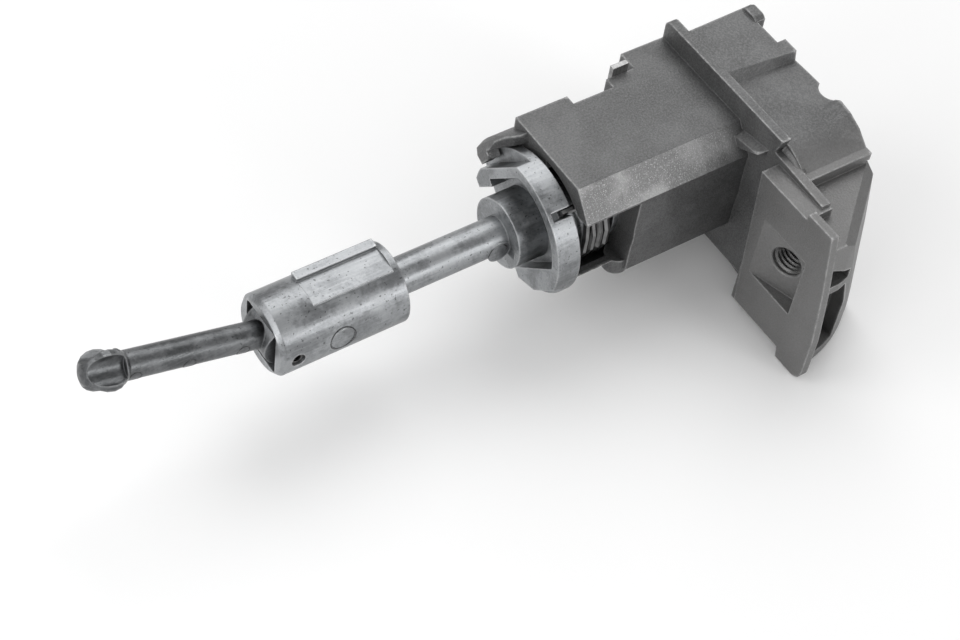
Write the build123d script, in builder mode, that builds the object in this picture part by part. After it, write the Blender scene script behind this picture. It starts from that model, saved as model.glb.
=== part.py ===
from build123d import *

import os
from math import acos, cos, degrees, radians, sin, sqrt, tan

# A vehicle door lock cylinder: die-cast housing, turning plug, tail shaft and a hinged end rod.
# The origin is the keyway mouth, in the middle of the plug's front face. X runs along the
# plug's axis, towards the key. The tail points to -X, and +Z is the top of the housing.

# Housing body, millimetres
head_depth = 14.3
plate_t = 1.9
box_length = 35.3
barrel_r = 12.7
box_top_z = 15.0
box_side_y = 12.5
box_side_low_z = -8.5
box_chamfer_y = 4.2
box_chamfer_z = 5.2
box_far_y = 8.8
wing_edge = 6.0
wing_root = 9.0
rear_wing_length = 11.0
front_wing_length = 15.6
corner_wing_length = 9.5
window_length = 11.5
window_top_z = 9.4
window_low_z = -6.6
window_lug_r = 2.4
window_lug_y = 9.4
window_lug_z = -10.0
chamber_r = 11.3
leg_room_r = 13.45
leg_room_length = 5.0

# Flange plate, low towards the screw tab
head_top_z = 19.3
plate_far_y = 15.0
plate_near_y = 31.6
plate_step_y = 19.2
plate_step_foot_y = 18.1
plate_step_z = 15.9
plate_end_z = 15.0
plate_corner_r = 1.2
gusset_t = 1.1
gusset_reach = 1.9

# Housing head: top block with a rib, domed crown, ledge and near arm
head_rise = 0.4
head_far_y = 10.8
head_side_y = 12.0
head_low_z = -16.8
head_wall = 1.8
head_barrel_r = 12.2
rib_foot_y = 3.1
rib_rear_y = 1.0
rib_front_y = 2.6
crown_z = 17.6
crown_mid_y = 11.0
crown_mid_z = 17.9
crown_shoulder_y = 18.5
crown_shoulder_z = 17.5
scallop_r = 2.6
scallop_y = 12.2
scallop_out = 1.2
ledge_in_y = 24.2
ledge_out_y = 25.8
ledge_z = 14.9
bump_length = 6.0
bump_y = 15.6
bump_rise = 0.9
lip_length = 2.2
lip_width = 4.2
lip_rise = 1.0
notch_near_y = 0.7
notch_width = 5.9
notch_floor_z = 17.0
notch_depth = 1.8
shoulder_z = 12.6
arm_front_y = 31.6
arm_rear_y = 39.2
arm_low_z = -20.4
lean_slope = 0.84
hollow_front_x = -7.4

# Screw tab: a thin wall beside the arm, with two side pockets
tab_depth = 3.8
tab_wall = 1.6
tab_inner_y = 19.7
tab_lean = 2.4
tab_width = 19.6
tab_step_y = 12.7
tab_outer_z = 15.8
tab_top_z = 14.4
tab_low_z = -18.0
tab_tip_z = -20.4
tab_corner_r = 2.0
pocket_depth_y = 4.4
pocket_length = 6.4
pocket_low_length = 9.2
pocket_top_z = 7.0
pocket_drop = 3.5
pocket_web_z = 1.2
pocket_web = 1.8
pocket_low_z = -18.4
clear_y = 60.0

# Tilted screw seat, M6
seat_angle = 17.3
seat_start_y = 23.5
seat_end_y = 35.0
seat_top_z = 5.6
seat_low_z = -8.5
screw_y = 29.5
screw_z = -0.9
screw_drill_r = 3.0
screw_mouth_r = 3.25
screw_boss_r = 5.0
screw_length = 12.0

# Plug and what turns in it
plug_r = 7.8
plug_length = 41.0
plug_clear = 0.06
flange_r = 8.8
flange_t = 2.0
cap_t = 0.45
cap_clear = 0.04
keyway_w = 3.0
keyway_h = 9.6
keyway_end = 28.5
wafer_count = 8
wafer_first = 8.6
wafer_pitch = 2.35
wafer_t = 0.9
wafer_w = 7.8
wafer_clear = 0.06
wafer_codes = (2, 4, 1, 3, 4, 2, 1, 3)
wafer_step = 0.6
ear_w = 2.1
ear_h = 1.2
spring_pocket_r = 0.95
spring_r = 0.62
spring_wire = 0.26
spring_free = 3.6
spring_turns = 2.5
spring_steps = 5
broach_h = 1.3
broach_clear = 0.4
seal_x = 6.9
seal_wire_r = 0.47
clip_x = 30.0
clip_t = 1.0
clip_groove = 1.2
clip_low_z = -3.1
clip_top_z = 13.9
clip_near_y = 4.4
clip_tab_low_z = 9.5
clip_tab_high_z = 16.9
clip_tab_length = 3.4
shank_r = 5.2
shank_gap = 0.8
tongue_w = 4.0
tongue_h = 9.0
tongue_length = 3.6

# Dust shutter behind the keyway mouth
shutter_t = 0.7
shutter_pin_r = 0.4
shutter_pin_y = 2.5
shutter_edge_y = 1.9
shutter_half_h = 5.0
shutter_gap = 0.15
shutter_pocket = 5.7

# Return spring round the tail's hub
coil_wire_r = 0.62
wire_sides = 6
coil_steps = 16
coil_r = 9.35
coil_turns = 3.25
coil_pitch = 1.5
coil_rear_gap = 3.4
leg_angle = 129.0
leg_r = 12.55
leg_reach = 5.8
fixed_leg_r = 12.2

# Tail shaft
disc_gap = 1.0
disc_r = 13.8
disc_t = 4.7
disc_flange_t = 1.7
disc_rim = 1.9
flat_d = 11.0
bar_t = 2.0
low_bar_d = 12.0
low_bar_t = 4.2
disc_left_s = 4.4
lug_s = 7.8
lug_t = 3.5
boss_r = 6.7
boss_length = 3.2
hub_r = 8.1
hub_gap = 3.1
hub_clear = 0.08
rod_r = 3.4
rod_length = 23.0
sleeve_r = 7.46
sleeve_length = 24.8
sleeve_edge = 0.8
socket_w = 9.6
socket_depth = 12.0
pad_y = 3.2
pad_z = 7.0
pad_length = 15.6
pad_start = 1.2
strip_y = 3.3
strip_w = 1.8
strip_z = 7.7
mark_r = 2.3

# Pinned end rod
pin_r = 1.25
pin_bore_r = 0.75
pin_slit = 0.5
pin_inset = 3.0
pin_clear = 0.05
pin_recess = 0.6
eye_r = 4.35
eye_w = 7.2
pin_land = 1.0
pin_relief = 0.37
rod_tilt = 15.8
end_rod_r = 2.5
end_rod_reach = 33.0
tip_r = 4.15
tip_cone = 3.6
tip_angle = 111.0
flute_r = 2.6
flute_out = 4.3
flute_start = 2.8
tip_bands = 6

# Hook of the housing behind the disc
hook_low = 24.0
hook_high = 40.0
hook_root = 64.0
hook_clear = 1.35
hook_out_r = 16.2
hook_corner = 1.9
hook_reach = 5.4
hook_near_y = 6.4

# Places along the axis
plate_front_x = -head_depth
plate_rear_x = plate_front_x - plate_t
box_rear_x = plate_rear_x - box_length
window_front_x = box_rear_x + window_length
tab_rear_x = plate_rear_x - tab_depth
tab_front_x = tab_rear_x + tab_wall
disc_front_x = box_rear_x - disc_gap
disc_rear_x = disc_front_x - disc_t
boss_rear_x = disc_rear_x - boss_length
sleeve_front_x = boss_rear_x - rod_length
sleeve_rear_x = sleeve_front_x - sleeve_length
pin_x = sleeve_rear_x + pin_inset


def across(x):
    # a plane square to the plug's axis, drawn in Y and Z, that extrudes towards +X
    return Plane(origin=(x, 0, 0), x_dir=(0, 1, 0), z_dir=(1, 0, 0))


def along(y):
    # a plane square to Y, drawn in X and Z, that extrudes towards +Y
    return Plane(origin=(0, y, 0), x_dir=(-1, 0, 0), z_dir=(0, 1, 0))


def sector(plane, r_in, r_out, low, high):
    # part of a ring between two angles, which count from the plane's own first axis
    inner = [(r_in * cos(radians(a)), r_in * sin(radians(a))) for a in (high, 0.5 * (low + high), low)]
    outer = [(r_out * cos(radians(a)), r_out * sin(radians(a))) for a in (low, 0.5 * (low + high), high)]
    with BuildSketch(plane) as ring_part:
        with BuildLine():
            ThreePointArc(*outer)
            Line(outer[2], inner[0])
            ThreePointArc(*inner)
            Line(inner[2], outer[0])
        make_face()
    return ring_part.sketch


def coil_points(radius, pitch, turns, steps, start):
    # corners of a coil round X, with this many straight pieces to a turn
    count = round(turns * steps)
    corners = []
    for i in range(count + 1):
        angle = radians(start + 360 * turns * i / count)
        corners.append(Vector(pitch * turns * i / count, radius * cos(angle), radius * sin(angle)))
    return corners


def ball_profile(radius, bands, low, high):
    # corners of a ball's outline between two angles from its axis, just outside the true circle
    outside = radius / cos(radians(0.25 * (high - low) / bands))
    angles = [radians(low + (high - low) * i / bands) for i in range(bands + 1)]
    return [(round(outside * sin(a), 6), outside * cos(a)) for a in angles]


def keep(piece, name):
    piece.part.label = name
    export_step(piece.part, f"parts/{name}.step")


os.makedirs("parts", exist_ok=True)

# Housing: one die casting
coil_rear_x = box_rear_x + coil_rear_gap
coil_front_x = coil_rear_x + coil_turns * coil_pitch
coil_start = leg_angle + degrees(acos(coil_r / leg_r))
fixed_leg_angle = coil_start + 360 * (coil_turns % 1) + degrees(acos(coil_r / fixed_leg_r))
rear_wall_x = plate_front_x + 1.3
seat_slope = tan(radians(seat_angle))
screw_x = tab_rear_x + (screw_y - seat_start_y) * seat_slope
screw_dir = Vector(cos(radians(seat_angle)), sin(radians(seat_angle)), 0)
screw_mouth = Vector(screw_x, -screw_y, screw_z)
disc_turn = 45.0
hook_r = disc_r - hook_clear
hook_x = box_rear_x - hook_reach
finger_x = disc_front_x - disc_flange_t - 0.35
tab_far_y = tab_inner_y + tab_width

with BuildPart() as lock_housing:
    # body: round barrel with a flat top and a chamfered near side
    with BuildSketch(across(box_rear_x)):
        Circle(barrel_r)
        with BuildLine():
            Polyline(
                (box_far_y, 0),
                (box_far_y, box_top_z),
                (box_chamfer_y - box_side_y, box_top_z),
                (-box_side_y, box_top_z - box_chamfer_z),
                (-box_side_y, 0),
                close=True,
            )
        make_face()
    extrude(amount=box_length + plate_t)
    with BuildSketch(across(window_front_x)):
        with BuildLine():
            Polyline(
                (0, 0),
                (-box_side_y, 0),
                (-box_side_y, box_side_low_z),
                (-0.75 * box_side_y, box_side_low_z - 1.6),
                close=True,
            )
        make_face()
    extrude(amount=plate_front_x - window_front_x)
    # stepped wings along the far side
    for wing_rear, wing_front, wing_y in (
        (box_rear_x, box_rear_x + rear_wing_length, head_far_y),
        (plate_rear_x - front_wing_length, plate_rear_x, head_far_y + 0.2),
        (plate_rear_x - corner_wing_length, plate_rear_x, plate_far_y),
    ):
        with BuildSketch(across(wing_rear)):
            with BuildLine():
                Polyline(
                    (0, box_top_z),
                    (wing_y, box_top_z),
                    (wing_y, box_top_z - wing_edge),
                    (box_far_y, box_top_z - wing_root),
                    (0, box_top_z - wing_root),
                    close=True,
                )
            make_face()
        extrude(amount=wing_front - wing_rear)
    # flange plate
    with BuildSketch(across(plate_rear_x)):
        with BuildLine():
            Polyline(
                (plate_far_y - plate_corner_r, head_top_z),
                (-plate_step_y, head_top_z),
                (-plate_step_foot_y, plate_step_z),
                (-plate_near_y, plate_end_z),
                (-plate_near_y, head_low_z),
                (6.0, head_low_z),
                (plate_far_y, -11.0),
                (plate_far_y, head_top_z - plate_corner_r),
            )
            RadiusArc(
                (plate_far_y, head_top_z - plate_corner_r),
                (plate_far_y - plate_corner_r, head_top_z),
                -plate_corner_r,
            )
        make_face()
    extrude(amount=plate_t)
    # thin gusset in the corner between the plate and the box
    with BuildSketch(Plane(origin=(plate_rear_x, 0, 0), x_dir=(0, -1, 0), z_dir=(-1, 0, 0))):
        with BuildLine():
            Polyline(
                (box_side_y - box_chamfer_y, box_top_z - 2.6),
                (box_side_y - 2.7, box_top_z - 1.2),
                (16.6, box_top_z - 0.1),
                (16.6, box_top_z - 0.1 - gusset_t),
                (box_side_y - 0.3, box_top_z - 2.6 - gusset_t),
                (box_side_y - box_chamfer_y, box_top_z - 5.0),
                close=True,
            )
        make_face()
    extrude(amount=gusset_reach, taper=18.0)
    # head: the crown is a low dome beside the rib and ends at a ledge
    with BuildSketch(across(plate_front_x)):
        with BuildLine():
            Polyline(
                (-rib_foot_y, crown_z),
                (head_far_y, crown_z),
                (head_side_y, 4.0),
                (head_side_y, -6.0),
                (7.0, -13.6),
                (0, head_low_z),
                (-18.0, arm_low_z),
                (-28.0, arm_low_z),
                (-28.0, shoulder_z),
                (-ledge_out_y, shoulder_z),
                (-ledge_out_y, ledge_z),
                (-ledge_in_y, ledge_z),
            )
            ThreePointArc(
                (-ledge_in_y, ledge_z),
                (-0.5 * (ledge_in_y + crown_shoulder_y), 0.5 * (ledge_z + crown_shoulder_z) + 0.5),
                (-crown_shoulder_y, crown_shoulder_z),
            )
            ThreePointArc(
                (-crown_shoulder_y, crown_shoulder_z),
                (-crown_mid_y, crown_mid_z),
                (-rib_foot_y, crown_z),
            )
        make_face()
    extrude(amount=head_depth)
    # top block over the plug; its near side is the first rib
    with BuildSketch(across(plate_front_x)):
        with BuildLine():
            Polyline(
                (-rib_foot_y, crown_z - 0.8),
                (-rib_rear_y, head_top_z),
                (head_far_y, head_top_z),
                (head_far_y, crown_z - 0.8),
                close=True,
            )
        make_face()
    with BuildSketch(across(0)):
        with BuildLine():
            Polyline(
                (-rib_foot_y, crown_z - 0.8),
                (-rib_front_y, head_top_z + head_rise),
                (head_far_y, head_top_z + head_rise),
                (head_far_y, crown_z - 0.8),
                close=True,
            )
        make_face()
    loft()
    # the crown's front edge rises in a low bump that fades towards the plate
    for bump_x, bump_z in ((-bump_length, -0.6), (0, bump_rise)):
        with BuildSketch(across(bump_x)):
            with BuildLine():
                Polyline(
                    (-bump_y + 2.2, crown_mid_z - 2.0),
                    (-bump_y + 1.2, crown_mid_z + min(bump_z, 0)),
                    (-bump_y, crown_mid_z + bump_z),
                    (-crown_shoulder_y, crown_shoulder_z + bump_z),
                    (-crown_shoulder_y - 3.0, crown_shoulder_z - 0.8 + 0.5 * bump_z),
                    (-ledge_in_y, ledge_z + min(bump_z, 0)),
                    (-ledge_in_y, ledge_z - 2.0),
                    close=True,
                )
            make_face()
    loft(ruled=True)
    # shallow round notch through the crown's front edge
    with BuildSketch(Plane.XY.offset(crown_mid_z - 2 * head_wall)):
        with Locations((scallop_out, -scallop_y)):
            Circle(scallop_r)
    extrude(amount=2 * head_wall + bump_rise, mode=Mode.SUBTRACT)
    # raised lip at the front far corner
    with BuildSketch(across(-lip_length)):
        with Locations((head_far_y - 0.5 * lip_width, head_top_z + lip_rise - 0.5 * lip_width)):
            RectangleRounded(lip_width, lip_width, 1.2)
    extrude(amount=lip_length)
    # near arm, round in plan, that carries the tab
    with BuildSketch(Plane.XY.offset(arm_low_z)):
        with BuildLine():
            Polyline(
                (0, -arm_front_y),
                (0, -20.0),
                (tab_front_x, -20.0),
                (tab_front_x, -arm_rear_y),
                (plate_front_x, -arm_rear_y),
            )
            ThreePointArc(
                (plate_front_x, -arm_rear_y),
                (-0.44 * head_depth, -0.5 * (arm_front_y + arm_rear_y) - 0.9),
                (0, -arm_front_y),
            )
        make_face()
    extrude(amount=shoulder_z - arm_low_z)
    # the arm's side leans in towards the top, and more so above its edge
    for side_z, side_y in ((arm_low_z, 32.2), (1.0, 29.3), (shoulder_z - 1.4, 27.6), (shoulder_z + 0.6, 24.4)):
        with BuildSketch(Plane.XY.offset(side_z)):
            with BuildLine():
                Polyline(
                    (1.0, lean_slope - side_y),
                    (-16.0, -16.0 * lean_slope - side_y),
                    (-16.0, -clear_y),
                    (1.0, -clear_y),
                    close=True,
                )
            make_face()
    loft(ruled=True, mode=Mode.SUBTRACT)
    # screw tab behind the plate
    with BuildSketch(across(tab_rear_x)):
        with BuildLine():
            Polyline(
                (-tab_inner_y, tab_top_z),
                (-tab_inner_y - tab_step_y, tab_top_z),
                (-tab_inner_y - tab_step_y, tab_outer_z),
                (-tab_far_y + 0.6, tab_outer_z),
                (-tab_far_y - 1.6, 2.0),
                (-tab_far_y - tab_lean - 0.4, -9.0),
                (-tab_far_y - tab_lean - 0.4, tab_low_z),
            )
            RadiusArc(
                (-tab_far_y - tab_lean - 0.4, tab_low_z),
                (-tab_far_y - tab_lean + tab_corner_r, tab_tip_z),
                -tab_corner_r * 1.2,
            )
            Polyline(
                (-tab_far_y - tab_lean + tab_corner_r, tab_tip_z),
                (-tab_inner_y - 15.6, tab_tip_z),
                (-tab_inner_y - 15.2, tab_low_z),
                (-tab_inner_y - tab_lean, tab_low_z),
                (-tab_inner_y, tab_top_z),
            )
        make_face()
    extrude(amount=tab_wall)
    with BuildSketch(across(tab_rear_x)):
        with BuildLine():
            Polyline(
                (-tab_inner_y, tab_top_z),
                (-tab_inner_y - tab_step_y, tab_top_z),
                (-tab_inner_y - tab_step_y, tab_low_z),
                (-tab_inner_y - tab_lean, tab_low_z),
                close=True,
            )
        make_face()
    extrude(amount=tab_depth + plate_t)
    # hollow of the head, open to the front
    with BuildSketch(across(rear_wall_x)):
        with BuildLine():
            Polyline(
                (-rib_foot_y, crown_z - 2.2),
                (head_far_y - 1.6, crown_z - 0.3),
                (head_side_y - head_wall, 4.0),
                (head_side_y - head_wall, -5.6),
                (6.0, -12.2),
                (0, head_low_z + head_wall),
                (-18.0, arm_low_z + head_wall),
                (-27.6, arm_low_z + head_wall),
                (-26.4, 0),
                (-24.2, 11.0),
                (-22.4, ledge_z - 0.6),
                (-crown_shoulder_y, crown_shoulder_z - head_wall),
                (-crown_mid_y, crown_mid_z - head_wall),
                close=True,
            )
        make_face()
    extrude(amount=-rear_wall_x + 1.0, mode=Mode.SUBTRACT)
    with BuildSketch(Plane.XY.offset(arm_low_z + head_wall)):
        with BuildLine():
            Polyline(
                (1.0, -24.0),
                (hollow_front_x, -24.0),
                (hollow_front_x, -33.2),
                (-5.6, -32.4),
                (1.0, -26.6),
                close=True,
            )
        make_face()
    extrude(amount=-arm_low_z - head_wall + 8.0, mode=Mode.SUBTRACT)
    # barrel round the plug, its ribs, and the screw boss
    with BuildSketch(across(plate_front_x)):
        Circle(head_barrel_r)
    extrude(amount=head_depth - 0.6)
    for rib_turn, rib_reach in ((62, 16.0), (118, 15.5), (-118, 15.0), (-62, 11.5)):
        rib_mid = 0.5 * (head_barrel_r + rib_reach)
        with BuildSketch(across(plate_front_x)):
            with Locations((rib_mid * cos(radians(rib_turn)), rib_mid * sin(radians(rib_turn)))):
                Rectangle(rib_reach - head_barrel_r + 1.2, 1.4, rotation=rib_turn)
        extrude(amount=head_depth - 3.0)
    for web_z in (8.0, -8.0, -14.0):
        with BuildSketch(across(plate_front_x)):
            with Locations((-19.2, web_z)):
                Rectangle(18.4 if web_z > -10 else 19.0, 1.4)
        extrude(amount=head_depth - 4.6)
    boss_plane = Plane(origin=screw_mouth + screw_dir * 1.2, z_dir=screw_dir)
    with BuildSketch(boss_plane):
        Circle(screw_boss_r)
    extrude(amount=screw_length - 1.2)
    # side pockets in front of the tab, with a web between them
    with BuildSketch(along(-arm_rear_y + pocket_depth_y)):
        with BuildLine():
            Polyline(
                (-tab_front_x, pocket_web_z),
                (-tab_front_x, pocket_top_z),
                (-tab_front_x - pocket_length, pocket_top_z - pocket_drop),
                (-tab_front_x - pocket_length, pocket_web_z),
                close=True,
            )
        make_face()
        with BuildLine():
            Polyline(
                (-tab_front_x, pocket_web_z - pocket_web),
                (-tab_front_x, pocket_low_z),
                (-tab_front_x - pocket_low_length, pocket_low_z),
                (-tab_front_x - pocket_low_length, pocket_low_z + 10.0),
                (-tab_front_x - pocket_length, pocket_web_z - pocket_web),
                close=True,
            )
        make_face()
    extrude(amount=-clear_y, mode=Mode.SUBTRACT)
    # bore, front counterbore, chamber for the return spring
    with BuildSketch(across(box_rear_x - 1.0)):
        Circle(plug_r + plug_clear)
    extrude(amount=-box_rear_x + 2.0, mode=Mode.SUBTRACT)
    with BuildSketch(across(-flange_t - cap_t - 0.4)):
        Circle(flange_r + cap_t + 0.45)
    extrude(amount=flange_t + cap_t + 2.0, mode=Mode.SUBTRACT)
    with BuildSketch(across(box_rear_x - 1.0)):
        Circle(chamber_r)
    extrude(amount=window_length + 1.0, mode=Mode.SUBTRACT)
    # sweep room for the spring's leg, over the top
    leg_room = sector(across(box_rear_x - 1.0), 0.5 * chamber_r, leg_room_r, 86, 172)
    extrude(leg_room, amount=leg_room_length, mode=Mode.SUBTRACT)
    # slot for the spring's fixed leg
    fixed_leg = sector(
        across(coil_front_x - coil_wire_r - 0.2),
        chamber_r - 0.6,
        barrel_r + 0.6,
        fixed_leg_angle - 16,
        fixed_leg_angle + 6,
    )
    extrude(fixed_leg, amount=2 * coil_wire_r + 0.4, mode=Mode.SUBTRACT)
    # window over the spring, with a round lug below its front corner
    with BuildSketch(across(box_rear_x - 1.0)):
        with BuildLine():
            Polyline(
                (-clear_y, window_top_z),
                (-5.0, window_top_z),
                (-5.0, window_low_z),
                (-clear_y, window_low_z),
                close=True,
            )
        make_face()
    extrude(amount=window_length + 1.0, mode=Mode.SUBTRACT)
    with BuildSketch(Plane.XY.offset(window_lug_z)):
        with Locations((window_front_x, -window_lug_y)):
            Circle(window_lug_r)
    extrude(amount=window_low_z - window_lug_z)
    # locking grooves for the wafers, top and bottom
    with BuildSketch(across(-keyway_end - 1.0)):
        Rectangle(wafer_w + 2 * broach_clear, 2 * (plug_r + broach_h))
    extrude(amount=keyway_end + 1.0 - wafer_first + 2.0, mode=Mode.SUBTRACT)
    # slot for the plug's clip, from the far side
    with BuildSketch(across(-clip_x - 0.5 * clip_t - 0.1)):
        with Locations((-clip_near_y - 0.6, clip_low_z - 0.2)):
            Rectangle(24.0, clip_top_z - clip_low_z + 0.4, align=(Align.MIN, Align.MIN))
    extrude(amount=clip_t + 0.2, mode=Mode.SUBTRACT)
    # tilted seat and the threaded hole
    with BuildSketch(Plane.XY.offset(seat_low_z)):
        with BuildLine():
            Polyline(
                (tab_rear_x - 1.0, -seat_start_y),
                (tab_rear_x, -seat_start_y),
                (tab_rear_x + (seat_end_y - seat_start_y) * seat_slope, -seat_end_y),
                (tab_rear_x - 1.0, -seat_end_y),
                close=True,
            )
        make_face()
    extrude(amount=seat_top_z - seat_low_z, mode=Mode.SUBTRACT)
    mouth_plane = Plane(origin=screw_mouth - screw_dir * 0.4, z_dir=screw_dir)
    with BuildSketch(mouth_plane):
        Circle(screw_drill_r)
    extrude(amount=screw_length + 3.0, mode=Mode.SUBTRACT)
    with BuildSketch(mouth_plane):
        Circle(screw_mouth_r + 0.4)
    with BuildSketch(mouth_plane.offset(0.4 + screw_mouth_r - screw_drill_r)):
        Circle(screw_drill_r)
    loft(mode=Mode.SUBTRACT)
    # shallow notch in the head's front rim
    with BuildSketch(across(-notch_depth)):
        with Locations((notch_near_y, notch_floor_z)):
            Rectangle(notch_width, clear_y, align=(Align.MIN, Align.MIN))
    extrude(amount=2 * notch_depth, mode=Mode.SUBTRACT)
    # hook: an arm outside the disc's front flange, with a finger behind it
    hook_plane = Plane(
        origin=(0, 0, 0),
        x_dir=(1, 0, 0),
        z_dir=(0, -sin(radians(hook_low)), cos(radians(hook_low))),
    )
    for part_r, part_front_x, part_high in (
        (disc_r + 0.35, box_rear_x + 1.5, hook_root),
        (hook_r, finger_x, hook_high),
    ):
        with BuildSketch(hook_plane):
            with BuildLine():
                Polyline(
                    (hook_x + hook_corner, hook_out_r),
                    (part_front_x, hook_out_r),
                    (part_front_x, part_r),
                    (hook_x, part_r),
                    (hook_x, hook_out_r - hook_corner),
                )
                Polyline(
                    (hook_x, hook_out_r - hook_corner),
                    (hook_x + 0.3 * hook_corner, hook_out_r - 0.3 * hook_corner),
                    (hook_x + hook_corner, hook_out_r),
                )
            make_face()
        revolve(axis=Axis.X, revolution_arc=part_high - hook_low)
    # the arm's near edge runs slantwise to the finger
    with BuildSketch(Plane.XY.offset(0.5 * box_top_z)):
        with BuildLine():
            Polyline(
                (box_rear_x, hook_near_y),
                (box_rear_x - 2.2, hook_near_y + 1.0),
                (hook_x - 1.0, hook_near_y + 4.6),
                (hook_x - 1.0, 0),
                (box_rear_x, 0),
                close=True,
            )
        make_face()
    extrude(amount=box_top_z, mode=Mode.SUBTRACT)
keep(lock_housing, "lock_housing")

# Plug: the part that the wafers lock
wafer_x = [-wafer_first - wafer_pitch * i for i in range(wafer_count)]
slot_t = wafer_t + 2 * wafer_clear
ear_y = 0.5 * wafer_w + 0.5 * ear_w
spring_top_z = -0.2
pin_slot_x = -cap_t - shutter_gap - 0.5 * shutter_t - 0.35
plug_rear_x = -plug_length
tongue_rear_x = box_rear_x + 1.4 - tongue_length
with BuildPart() as plug:
    with BuildSketch(across(plug_rear_x)):
        Circle(plug_r)
    extrude(amount=plug_length - cap_t - 0.02)
    with BuildSketch(across(-cap_t - 0.02 - flange_t)):
        Circle(flange_r)
    extrude(amount=flange_t)
    # shank and driving tongue at the rear
    with BuildSketch(across(tongue_rear_x + tongue_length)):
        Circle(shank_r)
    extrude(amount=plug_rear_x - tongue_rear_x - tongue_length)
    with BuildSketch(across(tongue_rear_x)):
        Rectangle(tongue_w, tongue_h)
    extrude(amount=tongue_length)
    # keyway and the shutter's pocket
    with BuildSketch(across(-keyway_end)):
        Rectangle(keyway_w, keyway_h)
    extrude(amount=keyway_end, mode=Mode.SUBTRACT)
    with BuildSketch(across(-cap_t - shutter_pocket)):
        with Locations((0.5 * (shutter_pin_y + 0.95 - shutter_edge_y - 0.15), 0)):
            Rectangle(shutter_pin_y + 0.95 + shutter_edge_y + 0.15, 2 * shutter_half_h + 0.3)
    extrude(amount=shutter_pocket + 1.0, mode=Mode.SUBTRACT)
    with BuildSketch(Plane.XY.offset(-shutter_half_h - 1.6)):
        with Locations((pin_slot_x, shutter_pin_y)):
            Circle(shutter_pin_r + 0.03)
    extrude(amount=2 * shutter_half_h + 3.2, mode=Mode.SUBTRACT)
    # wafer slots, each with room for the wafer's ear and its spring
    for x in wafer_x:
        with BuildSketch(across(x - 0.5 * slot_t)):
            Rectangle(wafer_w + 2 * wafer_clear, 2 * plug_r + 2)
            with Locations((0.5 * (ear_y + 0.5 * ear_w + 0.1), -0.6)):
                Rectangle(ear_y + 0.5 * ear_w + 0.1, 7.0)
        extrude(amount=slot_t, mode=Mode.SUBTRACT)
        with BuildSketch(Plane.XY.offset(spring_top_z - spring_free - 0.1)):
            with Locations((x, ear_y)):
                RegularPolygon(spring_pocket_r, 6)
        extrude(amount=spring_free + 0.1, mode=Mode.SUBTRACT)
    # grooves for the seal ring and the clip
    with BuildSketch(across(-seal_x - seal_wire_r - 0.15)):
        Circle(plug_r + 1)
        Circle(plug_r - 2 * seal_wire_r - 0.02, mode=Mode.SUBTRACT)
    extrude(amount=2 * seal_wire_r + 0.3, mode=Mode.SUBTRACT)
    with BuildSketch(across(-clip_x - 0.5 * clip_t - 0.12)):
        Circle(plug_r + 1)
        Circle(plug_r - clip_groove, mode=Mode.SUBTRACT)
    extrude(amount=clip_t + 0.24, mode=Mode.SUBTRACT)
keep(plug, "plug")

# Wafers, each cut to its own depth, and their springs
wafer_r = plug_r - 0.08
wafer_flat = 0.24 * wafer_w
wafer_edge_z = sqrt(wafer_r**2 - (0.5 * wafer_w) ** 2)
wafer_top_z = sqrt(wafer_r**2 - wafer_flat**2)
for i, x in enumerate(wafer_x):
    code_z = (wafer_codes[i] - 2.5) * wafer_step
    with BuildPart() as wafer:
        with BuildSketch(across(x - 0.5 * wafer_t)):
            with BuildLine():
                Polyline(
                    (0.5 * wafer_w, -wafer_edge_z),
                    (0.5 * wafer_w, wafer_edge_z),
                    (wafer_flat, wafer_top_z),
                    (-wafer_flat, wafer_top_z),
                    (-0.5 * wafer_w, wafer_edge_z),
                    (-0.5 * wafer_w, -wafer_edge_z),
                    (-wafer_flat, -wafer_top_z),
                    (wafer_flat, -wafer_top_z),
                    close=True,
                )
            make_face()
            with Locations((ear_y - 0.1, spring_top_z + 0.5 * ear_h)):
                Rectangle(ear_w, ear_h)
            Rectangle(keyway_w + 0.3, keyway_h + 0.3, mode=Mode.SUBTRACT)
            with Locations((-0.5 * keyway_w - 0.15, code_z)):
                Rectangle(1.4, 1.0)
        extrude(amount=wafer_t)
    keep(wafer, f"wafer_{i + 1}")
    with BuildPart() as wafer_spring:
        spring_low = spring_top_z - spring_free + 0.5 * spring_wire + 0.02
        spring_pitch = (spring_free - spring_wire - 0.04) / spring_turns
        spring_axis = Plane(origin=(x, ear_y, spring_low), x_dir=(0, 0, 1), z_dir=(0, 1, 0))
        corners = coil_points(spring_r, spring_pitch, spring_turns, spring_steps, 0)
        with BuildLine() as spring_path:
            Polyline(*[spring_axis.from_local_coords(corner) for corner in corners])
        with BuildSketch(Plane(origin=spring_path.line @ 0, z_dir=spring_path.line % 0)):
            RegularPolygon(0.5 * spring_wire, 4)
        sweep(transition=Transition.RIGHT)
    keep(wafer_spring, f"wafer_spring_{i + 1}")

# Cap pressed over the plug's front flange
with BuildPart() as face_cap:
    with BuildSketch(across(-cap_t - flange_t + 0.2)):
        Circle(flange_r + cap_clear + cap_t)
    extrude(amount=flange_t + cap_t - 0.2)
    with BuildSketch(across(-cap_t - flange_t + 0.2)):
        Circle(flange_r + cap_clear)
    extrude(amount=flange_t - 0.2, mode=Mode.SUBTRACT)
    with BuildSketch(across(-cap_t - 1)):
        Rectangle(keyway_w + 0.2, keyway_h + 0.2)
    extrude(amount=cap_t + 2, mode=Mode.SUBTRACT)
    rim_edges = face_cap.edges().filter_by(GeomType.CIRCLE).filter_by(lambda e: e.radius > flange_r + 0.2)
    chamfer(rim_edges.sort_by(Axis.X)[-1], 0.3)
keep(face_cap, "face_cap")

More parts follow.
